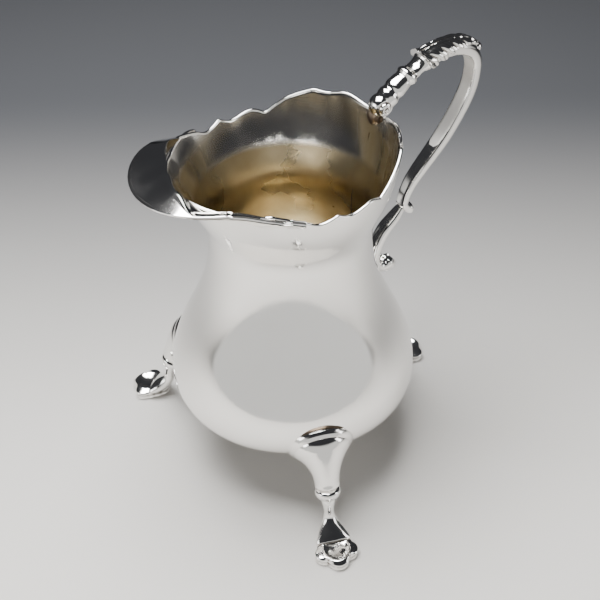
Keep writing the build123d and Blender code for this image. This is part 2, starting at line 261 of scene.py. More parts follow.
def silver_skin() -> bpy.types.NodeTree:
    """Node group of worked silver: uneven colour, wiped roughness, planishing waves, scratches and pits."""
    group = bpy.data.node_groups.new("silver_skin", "ShaderNodeTree")
    for name, kind in (("Bright", "Color"), ("Tarnish", "Color"), ("Stain", "Float"), ("Polish", "Float"),
                       ("Wave", "Float"), ("Scratch", "Float"), ("Recess", "Float")):
        group_socket(group, name, "INPUT", kind)
    for name, kind in (("Color", "Color"), ("Roughness", "Float"), ("Normal", "Vector")):
        group_socket(group, name, "OUTPUT", kind)
    nodes, links = group.nodes, group.links
    given, out = nodes.new("NodeGroupInput"), nodes.new("NodeGroupOutput")
    place = nodes.new("ShaderNodeTexCoord").outputs["Object"]

    def noise(scale: float, detail: float, stretch: Vector = Vector((1, 1, 1))) -> bpy.types.NodeSocket:
        """Noise on object coordinates."""
        mapping = nodes.new("ShaderNodeMapping")
        mapping.inputs["Scale"].default_value = stretch
        links.new(place, mapping.inputs["Vector"])
        node = nodes.new("ShaderNodeTexNoise")
        node.inputs["Scale"].default_value = scale
        node.inputs["Detail"].default_value = detail
        links.new(mapping.outputs["Vector"], node.inputs["Vector"])
        return node.outputs["Fac"]

    def calculate(operation: str, a: object, b: object) -> bpy.types.NodeSocket:
        """Maths on two sockets or numbers."""
        node = nodes.new("ShaderNodeMath")
        node.operation = operation
        for socket, value in zip(node.inputs, (a, b)):
            if isinstance(value, bpy.types.NodeSocket):
                links.new(value, socket)
            else:
                socket.default_value = value
        return node.outputs[0]

    def remap(value: bpy.types.NodeSocket, low: float, high: float) -> bpy.types.NodeSocket:
        """0 below low, 1 above high."""
        node = nodes.new("ShaderNodeMapRange")
        node.inputs["From Min"].default_value = low
        node.inputs["From Max"].default_value = high
        links.new(value, node.inputs["Value"])
        return node.outputs["Result"]

    crevice = nodes.new("ShaderNodeNewGeometry").outputs["Pointiness"]
    recess = calculate("MULTIPLY", remap(crevice, 0.498, 0.46), given.outputs["Recess"])
    blotch = calculate("MULTIPLY", remap(noise(55, 5), 0.42, 0.72), given.outputs["Stain"])
    dirt = calculate("MAXIMUM", recess, blotch)
    colour = nodes.new("ShaderNodeMix")
    colour.data_type = "RGBA"
    links.new(dirt, colour.inputs["Factor"])
    links.new(given.outputs["Bright"], colour.inputs["A"])
    links.new(given.outputs["Tarnish"], colour.inputs["B"])
    links.new(colour.outputs["Result"], out.inputs["Color"])

    wiped = calculate("MULTIPLY", remap(noise(90, 6), 0.35, 0.8), 0.07)
    rough = calculate("ADD", given.outputs["Polish"], wiped)
    rough = calculate("ADD", rough, calculate("MULTIPLY", dirt, 0.22))
    links.new(rough, out.inputs["Roughness"])

    scratches = noise(420, 3, Vector((1, 1, 9)))
    heights = calculate("MULTIPLY", noise(70, 1), given.outputs["Wave"])
    heights = calculate("ADD", heights, calculate("MULTIPLY", scratches, given.outputs["Scratch"]))
    pits = calculate("MULTIPLY", remap(noise(260, 2), 0.74, 0.8), given.outputs["Scratch"])
    heights = calculate("SUBTRACT", heights, calculate("MULTIPLY", pits, 2.0))
    bump = nodes.new("ShaderNodeBump")
    bump.inputs["Strength"].default_value = 1.0
    bump.inputs["Distance"].default_value = MM
    links.new(heights, bump.inputs["Height"])
    links.new(bump.outputs["Normal"], out.inputs["Normal"])
    return group


@dataclass(frozen=True)
class SilverFinish:
    """Silver in one state of polish.

    stain and recess are the shares of tarnish in blotches and in hollows, polish is the least roughness,
    and wave and scratch are heights in millimetres.
    """

    name: str
    bright: tuple[float, float, float, float]
    tarnish: tuple[float, float, float, float]
    stain: float
    polish: float
    wave: float
    scratch: float
    recess: float

    def skin(self, material: bpy.types.Material, group: bpy.types.NodeTree) -> bpy.types.Node:
        """This finish's group, placed in a material."""
        skin = material.node_tree.nodes.new("ShaderNodeGroup")
        skin.node_tree = group
        for socket, value in (("Bright", self.bright), ("Tarnish", self.tarnish), ("Stain", self.stain),
                              ("Polish", self.polish), ("Wave", self.wave), ("Scratch", self.scratch),
                              ("Recess", self.recess)):
            skin.inputs[socket].default_value = value
        return skin

    def material(self, group: bpy.types.NodeTree) -> bpy.types.Material:
        """Material of this finish alone."""
        material = bpy.data.materials.new(self.name)
        material.use_nodes = True
        shader = material.node_tree.nodes["Principled BSDF"]
        shader.inputs["Metallic"].default_value = 1.0
        skin = self.skin(material, group)
        links = material.node_tree.links
        links.new(skin.outputs["Color"], shader.inputs["Base Color"])
        links.new(skin.outputs["Roughness"], shader.inputs["Roughness"])
        links.new(skin.outputs["Normal"], shader.inputs["Normal"])
        return material


@dataclass(frozen=True)
class InsideFinish:
    """Inside of the jug: polished at the flare, yellow-brown tarnish from tide_height down, its dark tone
    partly painted shade.
    """

    name: str
    polished: SilverFinish
    tarnished_and_shaded: SilverFinish
    tide_height: float = 81.5
    tide_depth: float = 1.2

    def material(self, group: bpy.types.NodeTree) -> bpy.types.Material:
        """Material that blends both finishes at the tide line."""
        material = bpy.data.materials.new(self.name)
        material.use_nodes = True
        nodes, links = material.node_tree.nodes, material.node_tree.links
        shader = nodes["Principled BSDF"]
        shader.inputs["Metallic"].default_value = 1.0
        above, below = self.polished.skin(material, group), self.tarnished_and_shaded.skin(material, group)
        split = nodes.new("ShaderNodeSeparateXYZ")
        links.new(nodes.new("ShaderNodeTexCoord").outputs["Object"], split.inputs["Vector"])
        tide = nodes.new("ShaderNodeMapRange")
        tide.interpolation_type = "SMOOTHSTEP"
        tide.inputs["From Min"].default_value = (self.tide_height + self.tide_depth) * MM
        tide.inputs["From Max"].default_value = (self.tide_height - self.tide_depth) * MM
        links.new(split.outputs["Z"], tide.inputs["Value"])
        for socket, target, kind in (("Color", "Base Color", "RGBA"), ("Roughness", "Roughness", "FLOAT"),
                                     ("Normal", "Normal", "VECTOR")):
            mix = nodes.new("ShaderNodeMix")
            mix.data_type = kind
            ends = [s for s in mix.inputs if s.name in ("A", "B") and s.enabled]
            links.new(tide.outputs["Result"], [s for s in mix.inputs if s.name == "Factor" and s.enabled][0])
            links.new(above.outputs[socket], ends[0])
            links.new(below.outputs[socket], ends[1])
            links.new([s for s in mix.outputs if s.enabled][0], shader.inputs[target])
        return material


BRIGHT = (0.93, 0.915, 0.89, 1)
SHEET = SilverFinish("raised_silver", BRIGHT, (0.50, 0.45, 0.38, 1), 0.06, 0.07, 0.05, 0.004, 0.0)
FLARE = SilverFinish("flare_silver", BRIGHT, (0.52, 0.45, 0.36, 1), 0.15, 0.05, 0.10, 0.003, 0.0)
# Inside finish: real yellow-brown tarnish, with both colours made darker as painted shade for the deep
# inside of the jug.
TARNISH_AND_SHADE = SilverFinish(
    "inside_tarnish_and_shade", (0.50, 0.42, 0.27, 1), (0.30, 0.23, 0.12, 1),
    0.8, 0.22, 0.14, 0.006, 0.0
)
BOTTOM = SilverFinish(
    "worn_bottom", (0.92, 0.87, 0.72, 1), (0.62, 0.54, 0.38, 1),
    0.6, 0.34, 0.16, 0.006, 0.0
)
CAST = SilverFinish(
    "cast_silver", (0.90, 0.885, 0.86, 1), (0.13, 0.10, 0.07, 1),
    0.06, 0.08, 0.06, 0.006, 0.9
)
WORN = SilverFinish(
    "worn_silver", (0.80, 0.78, 0.74, 1), (0.30, 0.25, 0.19, 1),
    0.35, 0.34, 0.08, 0.02, 0.9
)
SOLDER = SilverFinish(
    "solder", (0.17, 0.13, 0.095, 1), (0.06, 0.045, 0.035, 1),
    0.7, 0.32, 0.25, 0.03, 0.6
)


@dataclass
class Looks:
    """The jug's materials, made once."""

    group: bpy.types.NodeTree = field(default_factory=silver_skin)

    def __post_init__(self) -> None:
        """Make every material."""
        self.sheet = SHEET.material(self.group)
        self.cast = CAST.material(self.group)
        self.worn = WORN.material(self.group)
        self.solder = SOLDER.material(self.group)
        self.bottom = BOTTOM.material(self.group)
        self.inside = InsideFinish("inside_silver", FLARE, TARNISH_AND_SHADE).material(self.group)


# ---------------------------------------------------------------- body
@dataclass
class PearBody:
    """Raised pear body with its flared, cut mouth, and the disc let into its bottom."""

    looks: Looks
    wall: float = 0.75
    disc_radius: float = 18.0
    disc_height: float = 15.2
    disc_crown: float = 0.7
    underside: list[Pair] = field(default_factory=lambda: [
        (18.0, 15.2), (27.0, 16.4), (32.6, 22.0), (32.6, 28.0),
    ])
    pear: list[Pair] = field(default_factory=lambda: [
        (32.6, 28.0), (32.6, 42.0), (20.15, 50.0), (20.15, 71.0),
    ])
    flare: list[Pair] = field(default_factory=lambda: [
        (20.15, 71.0), (20.4, 78.5), (25.2, 79.5), (26.5, 97.5),
    ])
    rim: list[tuple[float, float, bool]] = field(default_factory=lambda: [
        (-31.0, 92.6, False), (-23.0, 92.2, False), (-18.6, 93.0, True), (-12.0, 90.6, True),
        (-8.6, 89.2, False), (-4.3, 90.7, True),
        (-0.6, 89.3, False), (5.4, 90.6, False), (8.9, 89.2, True), (14.0, 92.7, True), (19.6, 95.3, True),
        (21.4, 94.9, False), (24.4, 95.9, False), (26.8, 94.3, False),
    ])
    spout_pull: float = 4.2
    spout_sharpness: float = 6.0
    columns: int = 300
    flare_share: float = 0.38
    pear_share: float = 0.40

    def pull(self, angle: float, height: float) -> float:
        """How far the wall is drawn forward under the lip."""
        rise = max(0.0, (height - self.flare[0][1]) / (self.rim[0][1] - self.flare[0][1]))
        return self.spout_pull * ((1 - math.cos(angle)) / 2) ** self.spout_sharpness * rise**2.5

    def rim_share(self, angle: float) -> float:
        """Share of the flare's curve that is left below the cut rim."""
        reach = bezier(self.flare, 0.95)[0]
        across = math.cos(angle) * (reach + self.pull(angle, self.rim[0][1]))
        height = eased(self.rim, across)
        low, high = 0.0, 1.0
        while high - low > 1e-4:
            middle = (low + high) / 2
            if bezier(self.flare, middle)[1] < height:
                low = middle
            else:
                high = middle
        return low

    def wall_point(self, turn: float, climb: float) -> Vector:
        """Point of the outside of the wall."""
        angle = 2 * math.pi * turn
        under_share = 1 - self.flare_share - self.pear_share
        if climb < under_share:
            radius, height = bezier(self.underside, climb / under_share)
        elif climb < under_share + self.pear_share:
            radius, height = bezier(self.pear, (climb - under_share) / self.pear_share)
        else:
            share = (climb - under_share - self.pear_share) / self.flare_share
            radius, height = bezier(self.flare, share * self.ends[round(turn * self.columns) % self.columns])
        radius += self.pull(angle, height)
        return jug_point(radius * math.cos(angle), radius * math.sin(angle), height)

    def disc_point(self, turn: float, out: float) -> Vector:
        """Point of the underside of the disc."""
        angle = 2 * math.pi * turn
        radius = self.disc_radius * out
        height = self.disc_height - self.disc_crown * (1 - out**2)
        return jug_point(radius * math.cos(angle), radius * math.sin(angle), height)

    def build(self) -> None:
        """Build the wall and the disc."""
        self.ends = [self.rim_share(2 * math.pi * step / self.columns) for step in range(self.columns)]
        wall = surface("body_wall_sheet", self.columns, 110, self.wall_point)
        face_outwards(wall)
        dress(wall, [self.looks.sheet, self.looks.inside])
        apply(wall, "SOLIDIFY", thickness=self.wall * MM, offset=-1.0, use_rim=True, material_offset=1)
        apply(wall, "BEVEL", width=0.28 * MM, segments=2, limit_method="ANGLE", angle_limit=math.radians(60))
        finish(wall, Slot.SHEET, "body_wall")
        disc = surface("base_disc_sheet", 96, 12, self.disc_point)
        face_towards(disc, Vector((0, 0, -1)))
        dress(disc, [self.looks.sheet, self.looks.bottom])
        apply(disc, "SOLIDIFY", thickness=self.wall * MM, offset=-1.0, use_rim=True, material_offset=1)
        finish(disc, Slot.SHEET, "base_disc")
        seam = surface("wall_seam", 12, 80, self.seam_point, Seam.ROUND)
        dress(seam, [self.looks.solder])
        finish(seam, Slot.SHEET)

    def seam_point(self, turn: float, climb: float) -> Vector:
        """Point of the fine solder seam up the inside of the wall, under the handle."""
        if climb < 0.5:
            radius, height = bezier(self.pear, 0.25 + 1.5 * climb)
        else:
            radius, height = bezier(self.flare, (climb - 0.5) * 2 * 0.8)
        angle = 2 * math.pi * turn
        lean = math.radians(3)
        inward = radius - self.wall + 0.02 * math.cos(angle)
        return jug_point(inward * math.cos(lean), inward * math.sin(lean) + 0.22 * math.sin(angle), height)


def face_outwards(piece: bpy.types.Object) -> None:
    """Turn an open shell of revolution so that its faces look away from the jug's axis."""
    total = 0.0
    for face in piece.data.polygons:
        away = face.center - AXIS
        away.z = 0
        total += face.normal.dot(away)
    if total < 0:
        piece.data.flip_normals()


@dataclass
class PouringLip:
    """Broad tongue soldered outside the cut mouth and folded over its edge."""

    looks: Looks
    body: PearBody
    thickness: float = 0.8
    tip_reach: float = 38.9
    round_radius: float = 19.2
    side_slope: float = 0.3714
    side_place: float = 28.1
    end_angle: float = 64.0
    round_end: float = 34.3
    rise: float = 1.9
    edge: list[tuple[float, float, bool]] = field(default_factory=lambda: [
        (0.0, 94.4, False), (30.0, 95.4, False), (56.0, 91.6, False), (72.0, 90.0, False),
    ])
    fold_line: list[tuple[float, float, bool]] = field(default_factory=lambda: [
        (-64.0, 36.2, False), (-24.0, 35.8, False), (-9.4, 32.4, False), (4.4, 30.2, False),
        (13.7, 28.8, False),
        (48.0, 26.6, False), (64.0, 26.3, False),
    ])
    lap: float = 0.45
    throat_radius: float = 25.4
    least_width: float = 1.2
    full_rise_width: float = 6.0
    end_drop: float = 2.0
    extra_drop: float = 3.0

    def edge_radius(self, away: float) -> float:
        """Plan radius of the edge at an angle from the tip: a round end, then straight sides."""
        swing = (self.tip_reach - self.round_radius) * math.sin(away)
        side = self.side_place / (math.sin(away) + self.side_slope * math.cos(away))
        if abs(swing) >= self.round_radius:
            return side
        end = (self.tip_reach - self.round_radius) * math.cos(away)
        end += math.sqrt(self.round_radius**2 - swing**2)
        return end if away < math.radians(self.round_end) else max(end, side)

    def section(self, away: float) -> list[Pair]:
        """Points (radius, height) across the lip, from its edge over the fold and down the throat."""
        level = eased(self.edge, abs(math.degrees(away)))
        fade = smooth_step(1 - abs(away) / math.radians(self.end_angle))
        spread = ((1 + math.cos(away)) / 2) ** self.body.spout_sharpness
        inner = self.throat_radius + self.body.spout_pull * spread
        edge = max(self.edge_radius(abs(away)), inner + self.least_width)
        fold = min(eased(self.fold_line, math.degrees(away)), edge - self.lap)
        reach = edge - fold
        crest = level + 0.1 + self.rise * fade * min(1.0, reach / self.full_rise_width)
        drop = self.end_drop + self.extra_drop * fade
        return [
            (edge, level - 0.35),
            (edge - 0.05, level),
            (edge - 0.3 * reach, level + 0.3 * (crest - level)),
            (edge - 0.7 * reach, level + 0.72 * (crest - level)),
            (fold + 0.1, crest),
            (fold - 0.25 * (fold - inner), crest - 0.22 * drop),
            (fold - 0.6 * (fold - inner), crest - 0.5 * drop),
            (inner, crest - drop),
        ]

    def point(self, swing: float, inwards: float) -> Vector:
        """Point of the upper skin."""
        away = (swing - 0.5) * 2 * math.radians(self.end_angle)
        radius, height = along(self.section(away), inwards)
        return jug_point(-radius * math.cos(away), radius * math.sin(away), height)

    def build(self) -> None:
        """Build the lip."""
        lip = surface("pouring_lip_sheet", 160, 56, self.point, Seam.OPEN)
        face_towards(lip, Vector((0, 0, 1)))
        apply(lip, "SOLIDIFY", thickness=self.thickness * MM, offset=-1.0, use_rim=True)
        apply(lip, "BEVEL", width=0.25 * MM, segments=2, limit_method="ANGLE", angle_limit=math.radians(60))
        dress(lip, [self.looks.inside])
        finish(lip, Slot.SHEET, "pouring_lip")


# ---------------------------------------------------------------- handle
@dataclass
class Scroll:
    """Cast strip that follows a path in the plane of the handle.

    path holds (distance, height) and sizes (half width, outer depth, inner depth), each spread evenly
    along it.
    """

    path: list[Pair]
    sizes: list[tuple[float, float, float]]
    squareness: float = 5.0
    flute: float = 0.0

    def frame_at(self, share: float) -> tuple[Vector, Vector]:
        """Point and outward direction in the handle's plane, as (x, 0, z) in millimetres."""
        step = 1e-3
        x0, z0 = along(self.path, max(share - step, 0))
        x1, z1 = along(self.path, min(share + step, 1))
        x, z = along(self.path, share)
        heading = Vector((x1 - x0, 0, z1 - z0)).normalized()
        return Vector((x, 0, z)), Vector((-heading.z, 0, heading.x))

    def skin(self, turn: float, share: float, proud: float = 0.0) -> Vector:
        """Point of the strip's surface, in millimetres, standing proud by some amount."""
        middle, out = self.frame_at(share)
        half, outer, inner = along(self.sizes, share)
        angle = 2 * math.pi * turn
        c, s = math.cos(angle), math.sin(angle)
        if s >= 0:
            across = half * c
            depth = outer * s * (1 - self.flute * ridge(angle - math.pi / 2, 0.5))
        else:
            across = half * math.copysign(abs(c) ** (2 / self.squareness), c)
            depth = -inner * abs(s) ** (2 / self.squareness)
        point = middle + Vector((0, across, 0)) + out * depth
        if proud:
            point += (Vector((0, c, 0)) + out * s).normalized() * proud
        return point

    def build(self, name: str, columns: int, rows: int) -> bpy.types.Object:
        """Closed strip with its ends drawn in."""

        def shape(turn: float, share: float) -> Vector:
            edge = 1.5 / rows
            shrink = 0.0 if share in (0.0, 1.0) else 1.0
            point = self.skin(turn, min(max(share, edge), 1 - edge))
            middle = self.frame_at(min(max(share, edge), 1 - edge))[0]
            return jug_point(*(middle + (point - middle) * shrink))

        return surface(name, columns, rows, shape)


@dataclass
class ScrollHandle:
    """Leaf-capped double scroll handle: volute on the rim, C-scroll grip, spur and fluted lower scroll."""

    looks: Looks
    volute_centre: Pair = (26.7, 96.0)
    volute_radius: float = 3.0
    bead_radius: float = 1.25
    neck_path: list[Pair] = field(default_factory=lambda: [
        (27.8, 96.9), (29.8, 98.5), (31.8, 99.9), (33.8, 101.2), (35.8, 102.3), (37.8, 103.3),
        (39.6, 104.0),
    ])
    neck_sizes: list[tuple[float, float, float]] = field(default_factory=lambda: [
        (2.6, 2.5, 2.3), (2.75, 2.65, 2.4), (2.8, 2.7, 2.4), (2.45, 2.35, 2.2), (2.75, 2.6, 2.3),
        (2.75, 2.55, 2.2),
        (2.7, 2.45, 2.1), (2.6, 2.3, 2.0), (2.5, 2.15, 2.0), (2.9, 2.7, 2.2), (2.8, 2.4, 2.1),
        (2.4, 1.7, 1.8),
        (2.35, 1.45, 1.7), (2.35, 1.4, 1.6), (2.4, 1.6, 1.6), (2.6, 2.0, 1.7), (3.0, 2.7, 1.8),
        (2.7, 2.2, 1.7),
    ])
    grip_path: list[Pair] = field(default_factory=lambda: [
        (38.2, 103.5), (40.6, 104.5), (43.4, 105.1), (46.4, 105.3), (49.4, 105.0), (52.3, 104.0),
        (54.7, 102.2),
        (56.1, 99.5), (56.2, 96.2), (55.6, 92.8), (54.0, 89.0), (51.3, 84.6), (48.0, 80.2), (44.2, 76.2),
        (40.8, 72.8), (38.2, 69.8), (36.6, 67.0), (35.9, 64.6), (36.0, 62.6),
    ])
    grip_sizes: list[tuple[float, float, float]] = field(default_factory=lambda: [
        (2.3, 1.9, 1.7), (2.35, 1.9, 1.7), (2.35, 1.9, 1.7), (2.35, 1.9, 1.7), (2.35, 1.9, 1.7),
        (2.35, 1.9, 1.7),
        (2.35, 1.9, 1.6), (2.35, 1.9, 1.6), (2.35, 1.9, 1.6), (2.35, 1.9, 1.6), (2.35, 1.9, 1.6),
        (2.3, 1.9, 1.6),
        (2.3, 1.85, 1.6), (2.2, 1.75, 1.5), (2.1, 1.7, 1.4), (1.95, 1.5, 1.3), (1.8, 1.4, 1.2),
        (1.7, 1.3, 1.1),
        (1.6, 1.2, 1.1),
    ])
    lower_path: list[Pair] = field(default_factory=lambda: [
        (35.3, 62.9), (33.8, 61.3), (32.2, 59.9), (30.3, 58.3), (28.8, 56.4), (27.6, 54.2), (26.9, 51.6),
        (26.8, 49.2), (27.4, 47.3), (28.8, 46.2), (30.4, 45.9), (31.8, 46.4), (33.0, 47.2),
    ])
    lower_sizes: list[tuple[float, float, float]] = field(default_factory=lambda: [
        (1.3, 1.1, 1.0), (1.7, 1.5, 1.3), (1.9, 1.7, 1.4), (2.0, 1.8, 1.5), (2.0, 1.8, 1.5),
        (2.0, 1.8, 1.5),
        (2.0, 1.7, 1.5), (2.0, 1.7, 1.4), (1.9, 1.6, 1.3), (1.9, 1.6, 1.3), (2.2, 2.0, 1.6),
        (2.4, 2.3, 2.0),
        (1.5, 1.4, 1.4),
    ])
    leaf_start: float = 0.02
    leaf_end: float = 0.335
    spur_path: list[Pair] = field(default_factory=lambda: [
        (35.6, 64.6), (36.1, 63.4), (36.9, 62.5), (37.8, 62.0), (38.3, 61.9),
    ])
    spur_sizes: list[tuple[float, float, float]] = field(default_factory=lambda: [
        (1.6, 1.1, 1.1), (1.75, 1.3, 1.2), (1.8, 1.35, 1.3), (1.85, 1.4, 1.35), (1.75, 1.3, 1.25),
    ])
    eye: Pair = (42.5, 90.0)
    worn_from: float = 43.0
    leaf_lobes: float = 5.0
    leaf_wrap: float = 0.34
    leaf_rise: float = 0.85

    def __post_init__(self) -> None:
        """Make the two scrolls."""
        self.neck = Scroll(self.neck_path, self.neck_sizes, squareness=2.4)
        self.grip = Scroll(self.grip_path, self.grip_sizes)
        self.lower = Scroll(self.lower_path, self.lower_sizes, squareness=3.0, flute=0.35)

    def leaf_relief(self, side: float, run: float) -> float:
        """Height of the acanthus leaf above the grip.

        Args:
            side: From -1 to 1 across the leaf, 0 on its midrib.
            run: From 0 at the overhanging front edge to 1 at the tip.

        Returns:
            Millimetres, negative outside the leaf's outline.
        """
        off = abs(side)
        width = 1.0 - 0.8 * run**2.4
        phase = self.leaf_lobes * run - 1.3 * off
        part = phase - math.floor(phase)
        lobe = math.sin(math.pi * part) ** 0.6
        outline = width * (0.74 + 0.26 * lobe)
        inside = smooth_step((outline - off) / 0.14)
        notch = ridge(min(part, 1 - part), 0.11) * smooth_step((off / width - 0.15) / 0.4)
        vein = ridge(part - 0.5, 0.08) * smooth_step((off / width - 0.1) / 0.3)
        rib = ridge(off - 0.10, 0.05) - 0.8 * ridge(off, 0.05)
        front = ridge(run, 0.05)
        raised = self.leaf_rise * (1 - 0.35 * run) + 0.16 * lobe - 0.36 * notch - 0.12 * vein + 0.34 * rib
        return -0.5 + inside * (0.5 + raised + 0.8 * front)

    def leaf_point(self, across: float, run: float) -> Vector:
        """Point of the leaf's surface."""
        side = across * 2 - 1
        turn = 0.25 + side * self.leaf_wrap
        share = self.leaf_start + (self.leaf_end - self.leaf_start) * run
        proud = -0.6 if run == 0.0 else self.leaf_relief(side, run)
        return jug_point(*self.grip.skin(turn, share, proud))

    def volute_point(self, turn: float, share: float) -> Vector:
        """Point of the volute: a ball with a spiral groove on each cheek."""
        lean = math.pi * share
        angle = 2 * math.pi * turn
        across, side = math.sin(lean), math.cos(lean)
        coil = across * 2.1 - turn
        part = coil - math.floor(coil)
        groove = ridge(min(part, 1 - part), 0.13) * smooth_step((abs(side) - 0.25) / 0.2)
        radius = self.volute_radius * (1 - 0.13 * groove)
        x = self.volute_centre[0] + radius * across * math.cos(angle)
        z = self.volute_centre[1] + radius * across * math.sin(angle)
        return jug_point(x, radius * side, z)

    def ball(self, name: str, centre: Vector, sizes: Vector, waviness: float) -> bpy.types.Object:
        """Slightly uneven ball or blob.

        Args:
            name: The piece's name.
            centre: Its middle in millimetres.
            sizes: Its half sizes in millimetres.
            waviness: How uneven it is, as a share of its size.

        Returns:
            The piece.
        """

        def shape(turn: float, share: float) -> Vector:
            lean, angle = math.pi * share, 2 * math.pi * turn
            swell = 1 + waviness * math.sin(3 * angle + 1) * math.sin(2 * lean)
            across = math.sin(lean)
            spot = Vector((across * math.cos(angle), across * math.sin(angle), math.cos(lean)))
            return jug_point(*(centre + Vector(s * d for s, d in zip(spot, sizes)) * swell))

        return surface(name, 32, 20, shape)

    def build(self) -> None:
        """Build every piece of the handle."""
        neck = self.neck.build("grip_neck", 56, 180)
        grip = self.grip.build("grip_scroll_casting", 56, 260)
        spur = Scroll(self.spur_path, self.spur_sizes).build("spur", 32, 24)
        dress(neck, [self.looks.cast])
        dress(spur, [self.looks.cast])
        dress(grip, [self.looks.cast, self.looks.worn])
        for face in grip.data.polygons:
            inwards = (jug_point(self.eye[0], 0, self.eye[1]) - face.center).normalized()
            if face.normal.dot(inwards) > 0.8 and face.center.x - AXIS.x > self.worn_from * MM:
                face.material_index = 1
        finish(join([grip, neck, spur], "grip_scroll_casting"), Slot.CAST, "handle_upper_scroll")
        leaf = surface("acanthus_leaf", 110, 260, self.leaf_point, Seam.OPEN)
        face_towards(leaf, Vector((0, 0, 1)))
        dress(leaf, [self.looks.cast])
        middle, out = self.grip.frame_at(self.leaf_end + 0.01)
        bead = self.ball("leaf_bead", middle + out * 2.0, Vector((1, 1, 1)) * self.bead_radius, 0.0)
        dress(bead, [self.looks.cast])
        finish(join([leaf, bead], "acanthus_leaf"), Slot.CAST, "handle_leaf_cap")
        volute = surface("rim_volute_casting", 72, 48, self.volute_point)
        dress(volute, [self.looks.cast])
        finish(volute, Slot.CAST, "handle_rim_volute")
        lower = self.lower.build("lower_scroll_casting", 48, 140)
        dress(lower, [self.looks.cast])
        finish(lower, Slot.CAST, "handle_lower_scroll")
        rim_solder = self.ball("volute_solder", Vector((24.7, 0.3, 93.2)), Vector((1.0, 2.1, 1.9)), 0.10)
        dress(rim_solder, [self.looks.solder])
        finish(rim_solder, Slot.CAST)
        foot_solder = self.ball("scroll_solder", Vector((25.3, 0, 50.2)), Vector((1.2, 2.0, 2.6)), 0.06)
        dress(foot_solder, [self.looks.solder])
        finish(foot_solder, Slot.CAST)


